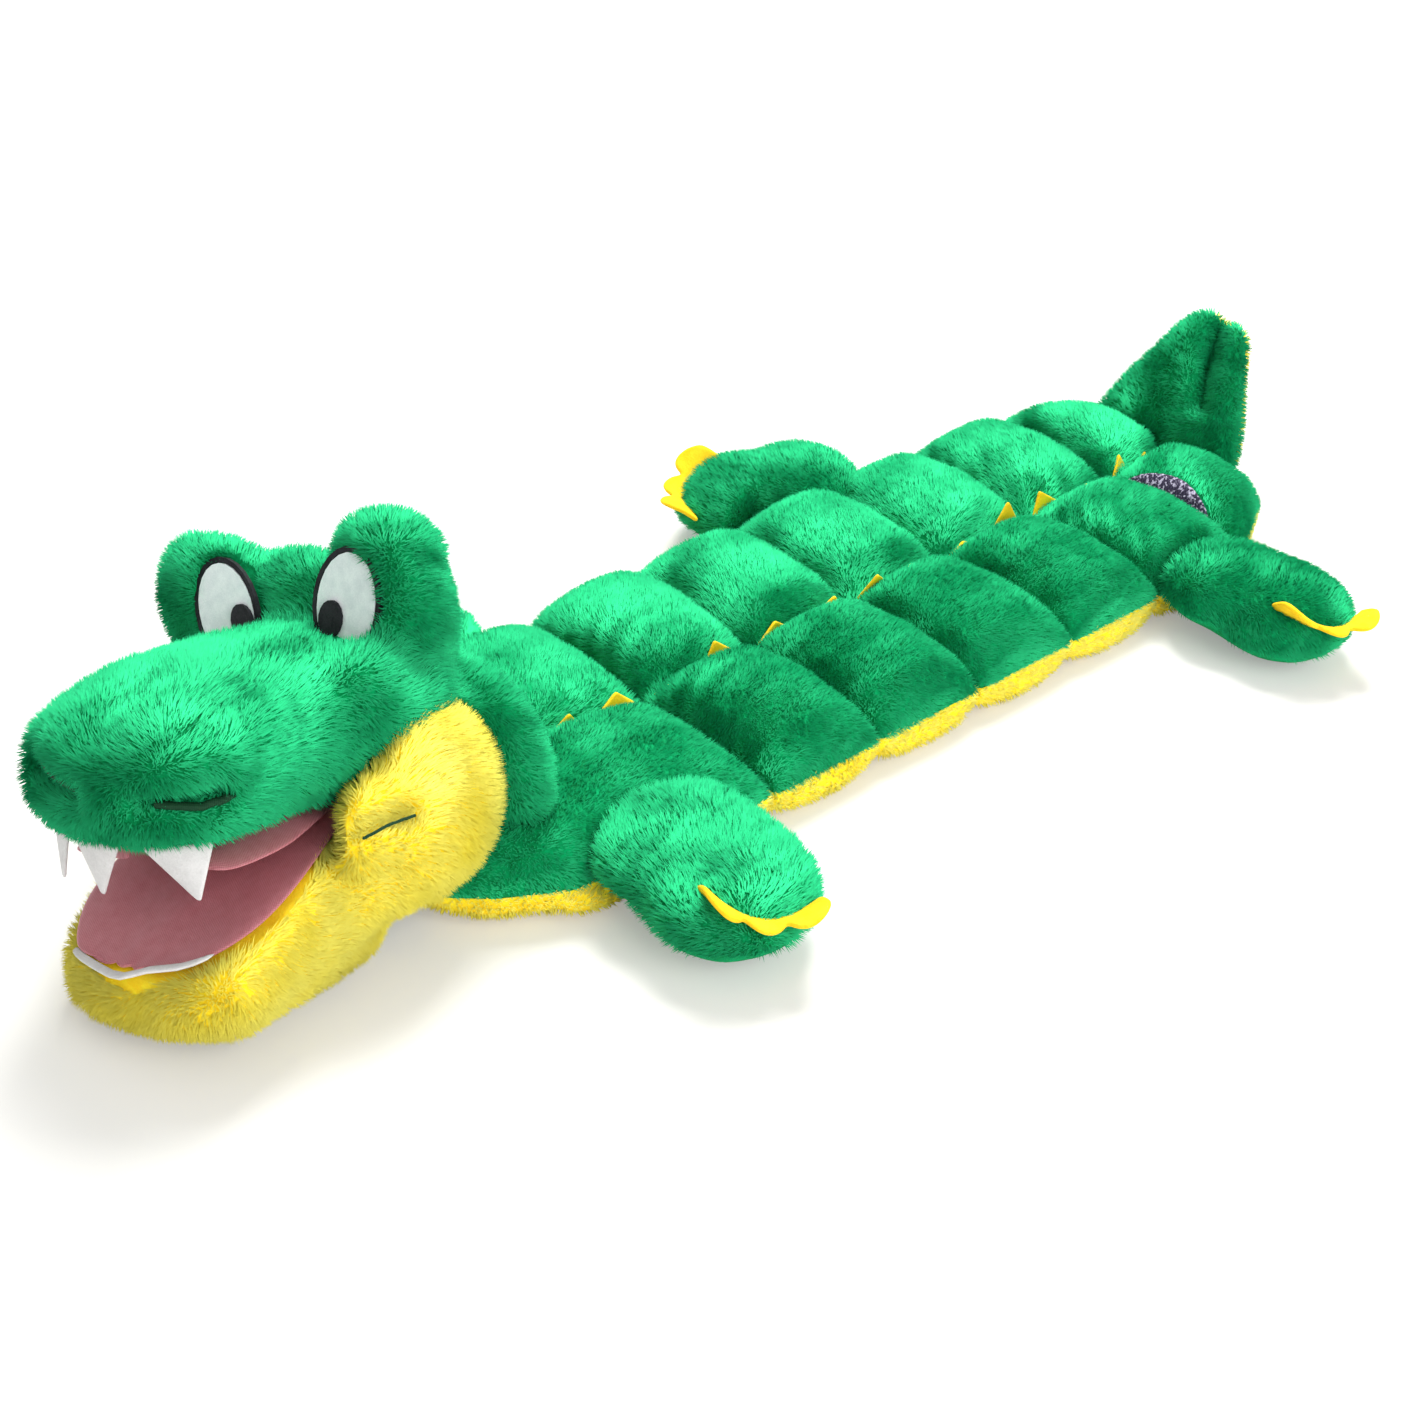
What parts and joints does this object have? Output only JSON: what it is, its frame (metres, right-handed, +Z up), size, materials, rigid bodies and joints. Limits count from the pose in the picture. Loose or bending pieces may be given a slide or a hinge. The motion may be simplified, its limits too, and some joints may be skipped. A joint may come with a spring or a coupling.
{
  "type": "plush dog toy",
  "caption": "Plush alligator dog toy: a flat jointed mat of squeaker pockets with a stuffed open-mouthed head, splayed paws and an upright tail.",
  "frame": {"origin": "centre of the bounding box in plan, on the floor under the toy", "axes": "-Y towards the nose and +Y towards the tail, +X towards the toy's left flank, +Z up"},
  "size_m": [0.2896, 0.5774, 0.1338],
  "materials": {
    "green_plush": "short dense plush pile",
    "yellow_plush": "short dense plush pile",
    "yellow_felt": "matt felt",
    "pink_satin": "smooth satin",
    "white_felt": "matt felt",
    "eye_felt": "smooth felt",
    "black_felt": "matt felt",
    "woven_label": "woven ribbon, bare",
    "squeaker_plastic": "moulded vinyl"
  },
  "bodies": {
    "row_4": {"top_cover_4": "green_plush", "belly_cover_4": "yellow_plush", "spine_felt_4": "yellow_felt", "squeaker_4_left": "squeaker_plastic", "squeaker_4_right": "squeaker_plastic"},
    "row_3": {"top_cover_3": "green_plush", "belly_cover_3": "yellow_plush", "spine_felt_3": "yellow_felt", "squeaker_3_left": "squeaker_plastic", "squeaker_3_right": "squeaker_plastic"},
    "row_2": {"top_cover_2": "green_plush", "belly_cover_2": "yellow_plush", "spine_felt_2": "yellow_felt", "squeaker_2_left": "squeaker_plastic", "squeaker_2_right": "squeaker_plastic"},
    "row_1": {"top_cover_1": "green_plush", "belly_cover_1": "yellow_plush", "spine_felt_1": "yellow_felt", "squeaker_1_left": "squeaker_plastic", "squeaker_1_right": "squeaker_plastic"},
    "row_5": {"top_cover_5": "green_plush", "belly_cover_5": "yellow_plush", "spine_felt_5": "yellow_felt", "squeaker_5_left": "squeaker_plastic", "squeaker_5_right": "squeaker_plastic"},
    "row_6": {"top_cover_6": "green_plush", "belly_cover_6": "yellow_plush", "spine_felt_6": "yellow_felt", "squeaker_6_left": "squeaker_plastic", "squeaker_6_right": "squeaker_plastic"},
    "row_7": {"top_cover_7": "green_plush", "belly_cover_7": "yellow_plush", "spine_felt_7": "yellow_felt", "squeaker_7_left": "squeaker_plastic", "squeaker_7_right": "squeaker_plastic", "hip_label": "woven_label"},
    "head": {"eye_rim_left": "black_felt", "eye_white_left": "eye_felt", "pupil_left": "black_felt", "eye_rim_right": "black_felt", "eye_white_right": "eye_felt", "pupil_right": "black_felt", "cheek_left": "yellow_plush", "cheek_right": "yellow_plush", "mouth_roof_lining": "pink_satin", "upper_teeth": "white_felt", "squeaker_muzzle": "squeaker_plastic", "head_plush": "green_plush"},
    "jaw": {"lower_jaw": "yellow_plush", "lower_teeth": "white_felt", "mouth_floor_lining": "pink_satin"},
    "front_left_leg": {"front_left_paw": "green_plush", "front_left_claws": "yellow_felt"},
    "front_right_leg": {"front_right_paw": "green_plush", "front_right_claws": "yellow_felt"},
    "hind_left_leg": {"hind_left_paw": "green_plush", "hind_left_claws": "yellow_felt"},
    "hind_right_leg": {"hind_right_paw": "green_plush", "hind_right_claws": "yellow_felt"},
    "tail": {"tail_plush": "green_plush"}
  },
  "joints": [
    {"name": "seam_3", "type": "hinge", "parent": "row_4", "child": "row_3", "pos_m": [-0.00598, 0.0493, 0.012], "axis": [-1, 0, 0], "range_deg": [-17, 17]},
    {"name": "seam_2", "type": "hinge", "parent": "row_3", "child": "row_2", "pos_m": [-0.00598, -0.0022, 0.012], "axis": [-1, 0, 0], "range_deg": [-17, 17]},
    {"name": "seam_1", "type": "hinge", "parent": "row_2", "child": "row_1", "pos_m": [-0.00598, -0.0537, 0.012], "axis": [-1, 0, 0], "range_deg": [-17, 17]},
    {"name": "seam_4", "type": "hinge", "parent": "row_4", "child": "row_5", "pos_m": [-0.00598, 0.1008, 0.012], "axis": [1, 0, 0], "range_deg": [-17, 17]},
    {"name": "seam_5", "type": "hinge", "parent": "row_5", "child": "row_6", "pos_m": [-0.00598, 0.1523, 0.012], "axis": [1, 0, 0], "range_deg": [-17, 17]},
    {"name": "seam_6", "type": "hinge", "parent": "row_6", "child": "row_7", "pos_m": [-0.00598, 0.2038, 0.012], "axis": [1, 0, 0], "range_deg": [-17, 17]},
    {"name": "nape_hinge", "type": "hinge", "parent": "row_1", "child": "head", "pos_m": [-0.02639, -0.13286, 0.03643], "axis": [-0.9511, -0.309, 0], "range_deg": [0, 25]},
    {"name": "jaw_hinge", "type": "hinge", "parent": "head", "child": "jaw", "pos_m": [-0.00238, -0.19671, 0.02958], "axis": [0.9131, 0.3157, 0.2582], "range_deg": [-5, 14], "stiffness_Nm_per_rad": 0.1},
    {"name": "front_left_seam", "type": "hinge", "parent": "row_1", "child": "front_left_leg", "pos_m": [0.05043, -0.09415, 0.037], "axis": [-0.1908, -0.9816, 0], "range_deg": [0, 35]},
    {"name": "front_right_seam", "type": "hinge", "parent": "row_1", "child": "front_right_leg", "pos_m": [-0.06163, -0.096, 0.037], "axis": [-0.5592, 0.829, 0], "range_deg": [0, 35]},
    {"name": "hind_left_seam", "type": "hinge", "parent": "row_6", "child": "hind_left_leg", "pos_m": [0.06211, 0.17998, 0.03404], "axis": [-0.0698, -0.9976, 0], "range_deg": [0, 35]},
    {"name": "hind_right_seam", "type": "hinge", "parent": "row_5", "child": "hind_right_leg", "pos_m": [-0.07304, 0.11386, 0.03478], "axis": [-0.8387, 0.5446, 0], "range_deg": [0, 35]},
    {"name": "tail_root", "type": "hinge", "parent": "row_7", "child": "tail", "pos_m": [-0.01438, 0.2451, 0.0024], "axis": [1, 0, 0], "range_deg": [-40, 0], "stiffness_Nm_per_rad": 0.06}
  ]
}
